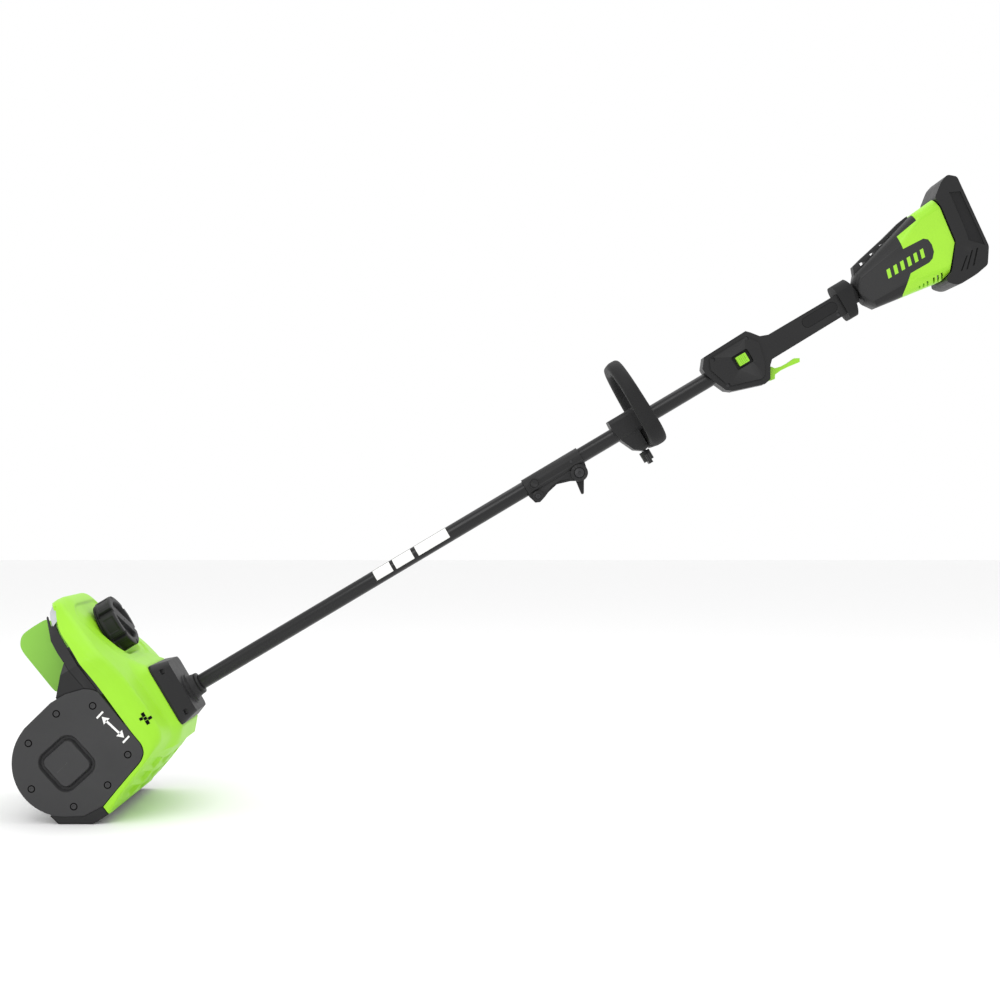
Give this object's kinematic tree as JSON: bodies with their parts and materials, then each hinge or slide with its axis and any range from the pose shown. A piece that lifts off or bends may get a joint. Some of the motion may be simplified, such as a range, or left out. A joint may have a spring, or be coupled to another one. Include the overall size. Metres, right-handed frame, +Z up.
{
  "type": "cordless snow shovel",
  "caption": "Pole-mounted powered snow shovel with a hooded paddle rotor, discharge vanes, a loop handle, a trigger grip and an empty battery dock.",
  "frame": {"origin": "centre of the flat skid sole on the ground, straight below the rotor axis", "axes": "+X along the ground towards the battery dock, +Y across the head along the rotor, +Z up"},
  "size_m": [1.5449, 0.32, 1.0195],
  "materials": {
    "lime_shell": "satin moulded",
    "cover_plastic": "fine texture",
    "black_plastic": "fine texture",
    "vane_plastic": "satin moulded",
    "lime_trim": "satin moulded",
    "tube_paint": "satin",
    "steel": "machined",
    "cast_alloy": "as cast",
    "dark_screw": "blackened",
    "soft_rubber": "matt",
    "lens": "clear",
    "board": "satin",
    "label": "printed film",
    "copper_steel": "wound",
    "nylon": "satin",
    "brass": "plated"
  },
  "bodies": {
    "head": {"hood": "lime_shell", "belt_cover": "cover_plastic", "end_cover": "cover_plastic", "side_frame_near": "black_plastic", "side_frame_far": "black_plastic", "cheek_panels": "black_plastic", "cover_screws": "cover_plastic", "scraper_bar": "black_plastic", "lamp_lens": "lens", "lamp_board": "board", "shaft_bearings": "steel", "gearcase": "cast_alloy", "bracket": "black_plastic", "bracket_screws": "dark_screw", "clamp_collar": "black_plastic", "lower_tube": "tube_paint", "pole_labels": "label", "tube_bushes": "nylon", "drive_belt": "soft_rubber", "vane_rail": "black_plastic"},
    "rotor": {"rotor_shaft": "steel", "rotor_discs": "black_plastic", "rotor_paddles": "soft_rubber", "rotor_pulley": "cast_alloy"},
    "cross_drive": {"cross_shaft": "steel", "bevel_gear": "steel", "cross_pulley": "cast_alloy"},
    "lower_drive": {"lower_drive_shaft": "steel", "bevel_pinion": "steel"},
    "motor_drive": {"upper_drive_shaft": "steel", "motor_fan": "black_plastic"},
    "vane_control": {"vane_knob": "black_plastic", "centre_vane": "vane_plastic"},
    "near_vane_body": {"near_vane": "vane_plastic"},
    "far_vane_body": {"far_vane": "vane_plastic"},
    "tie_bar": {"vane_tie_bar": "black_plastic"},
    "upper": {"upper_tube": "tube_paint", "coupler_sleeve": "black_plastic", "coupler_bolts": "steel", "grip_housing_near": "black_plastic", "grip_housing_far": "black_plastic", "housing_screws": "dark_screw", "grip_pads": "soft_rubber", "trigger_spring": "steel", "power_switch": "nylon", "rear_collar": "soft_rubber", "motor_housing": "black_plastic", "rear_shell": "lime_shell", "motor_stator": "copper_steel", "control_board": "board", "battery_dock": "black_plastic", "terminal_block": "brass"},
    "release": {"release_button": "black_plastic"},
    "coupler_screw": {"coupler_knob": "black_plastic"},
    "loop": {"loop_handle": "soft_rubber", "loop_clamp": "black_plastic", "loop_bolt": "steel"},
    "loop_screw": {"loop_knob": "black_plastic"},
    "trigger_lever": {"trigger": "lime_trim"},
    "lock_off": {"lock_button": "lime_trim"}
  },
  "joints": [
    {"name": "rotor_spin", "type": "hinge", "parent": "head", "child": "rotor", "pos_m": [0, 0, 0.0932], "axis": [0, 1, 0], "continuous": true},
    {"name": "cross_spin", "type": "hinge", "parent": "head", "child": "cross_drive", "pos_m": [0.10136, 0, 0.15362], "axis": [0, 1, 0], "continuous": true},
    {"name": "lower_shaft_spin", "type": "hinge", "parent": "head", "child": "lower_drive", "pos_m": [0.18382, 0, 0.20278], "axis": [0.859, 0, 0.512], "continuous": true},
    {"name": "pole_slide", "type": "slide", "parent": "head", "child": "upper", "axis": [0.859, 0, 0.512], "range_m": [0, 0.08]},
    {"name": "motor_spin", "type": "hinge", "parent": "upper", "child": "motor_drive", "pos_m": [1.30046, 0, 0.86843], "axis": [0.859, 0, 0.512], "continuous": true},
    {"name": "vane_tilt", "type": "hinge", "parent": "head", "child": "vane_control", "pos_m": [0.03727, 0, 0.29238], "axis": [0.859, 0, 0.512], "range_deg": [-25, 25]},
    {"name": "near_vane_tilt", "type": "hinge", "parent": "head", "child": "near_vane_body", "pos_m": [0.0158, -0.076, 0.27958], "axis": [0.859, 0, 0.512], "range_deg": [-25, 25]},
    {"name": "far_vane_tilt", "type": "hinge", "parent": "head", "child": "far_vane_body", "pos_m": [0.0158, 0.076, 0.27958], "axis": [0.859, 0, 0.512], "range_deg": [-25, 25]},
    {"name": "tie_bar_swing", "type": "hinge", "parent": "vane_control", "child": "tie_bar", "pos_m": [0.03628, 0, 0.24522], "axis": [0.859, 0, 0.512], "range_deg": [-25, 25]},
    {"name": "release_press", "type": "slide", "parent": "upper", "child": "release", "axis": [0, 1, 0], "range_m": [0, 0.0012], "stiffness_N_per_m": 800},
    {"name": "coupler_knob_turn", "type": "hinge", "parent": "upper", "child": "coupler_screw", "pos_m": [0.79752, 0.02, 0.54231], "axis": [0, 1, 0], "range_deg": [0, 180]},
    {"name": "loop_slide", "type": "slide", "parent": "upper", "child": "loop", "axis": [0.859, 0, 0.512], "range_m": [-0.06, 0.1]},
    {"name": "loop_knob_turn", "type": "hinge", "parent": "loop", "child": "loop_screw", "pos_m": [0.90518, 0, 0.57458], "axis": [-0.512, 0, 0.859], "range_deg": [0, 180]},
    {"name": "trigger_pull", "type": "hinge", "parent": "upper", "child": "trigger_lever", "pos_m": [1.07016, 0, 0.69622], "axis": [0, -1, 0], "range_deg": [0, 10], "stiffness_Nm_per_rad": 0.4, "springref_deg": -5.73},
    {"name": "lock_off_slide", "type": "slide", "parent": "upper", "child": "lock_off", "axis": [0.859, 0, 0.512], "range_m": [0, 0.005], "stiffness_N_per_m": 300}
  ],
  "couplings": [
    {"joint": "cross_spin", "follows": "rotor_spin", "ratio": 2},
    {"joint": "lower_shaft_spin", "follows": "rotor_spin", "ratio": 4},
    {"joint": "motor_spin", "follows": "rotor_spin", "ratio": 4},
    {"joint": "near_vane_tilt", "follows": "vane_tilt", "ratio": 1},
    {"joint": "far_vane_tilt", "follows": "vane_tilt", "ratio": 1},
    {"joint": "tie_bar_swing", "follows": "vane_tilt", "ratio": -1}
  ]
}
